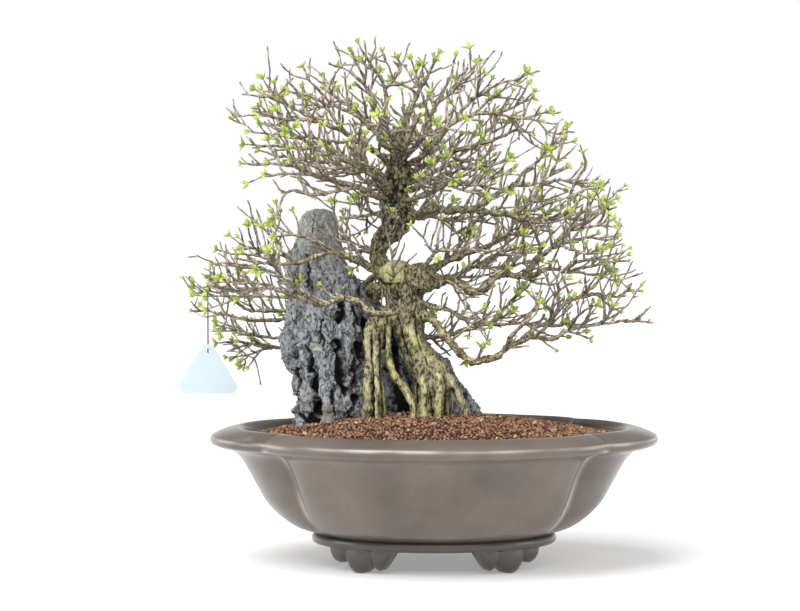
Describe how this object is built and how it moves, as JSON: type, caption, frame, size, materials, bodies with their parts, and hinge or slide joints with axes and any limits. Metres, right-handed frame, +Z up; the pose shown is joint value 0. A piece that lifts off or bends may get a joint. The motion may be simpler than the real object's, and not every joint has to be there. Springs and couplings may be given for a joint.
{
  "type": "premna bonsai",
  "caption": "Small budding tree whose roots clasp an upright dark stone, in a lobed oval clay pot on cloud feet, with a blank hang tag on a wire.",
  "frame": {"origin": "middle of the whole footprint at the ground: the bottom centre of the bounding box", "axes": "+Z up, +X to the right as seen from the front, +Y to the back"},
  "size_m": [0.3654, 0.2558, 0.4047],
  "materials": {
    "clay": "unglazed, satin, hand rubbed",
    "akadama": "matt fired clay granules",
    "limestone": "weathered, fissured",
    "bark": "fissured live bark",
    "twig_bark": "live bark with green buds",
    "screen_plastic": "moulded mesh",
    "black_wire": "black coated",
    "white_card": "coated, blank"
  },
  "bodies": {
    "root": {"branch_back_left_low": "twig_bark", "branch_back_low": "twig_bark", "branch_crown_apex": "twig_bark", "branch_crown_back": "twig_bark", "branch_crown_back_left": "twig_bark", "branch_crown_back_right": "twig_bark", "branch_crown_front": "twig_bark", "branch_crown_front_left": "twig_bark", "branch_crown_front_right": "twig_bark", "branch_crown_left": "twig_bark", "branch_crown_left_low": "twig_bark", "branch_crown_left_stub": "twig_bark", "branch_crown_left_up": "twig_bark", "branch_crown_right": "twig_bark", "branch_crown_right_low": "twig_bark", "branch_crown_right_under": "twig_bark", "branch_crown_top": "twig_bark", "branch_crown_top_left": "twig_bark", "branch_crown_top_right": "twig_bark", "branch_front": "twig_bark", "branch_front_drooping": "twig_bark", "branch_front_pale": "twig_bark", "branch_front_thin": "twig_bark", "branch_left_back": "twig_bark", "branch_left_low": "twig_bark", "branch_left_mid": "twig_bark", "branch_right_back": "twig_bark", "branch_right_low": "twig_bark", "branch_right_low_back": "twig_bark", "branch_right_mid": "twig_bark", "branch_right_mid_back": "twig_bark", "branch_right_upper": "twig_bark", "drain_screen_left": "screen_plastic", "drain_screen_right": "screen_plastic", "hang_tag": "white_card", "pot": "clay", "soil": "akadama", "stone": "limestone", "tag_wire": "black_wire", "trunk": "bark"}
  },
  "joints": []
}
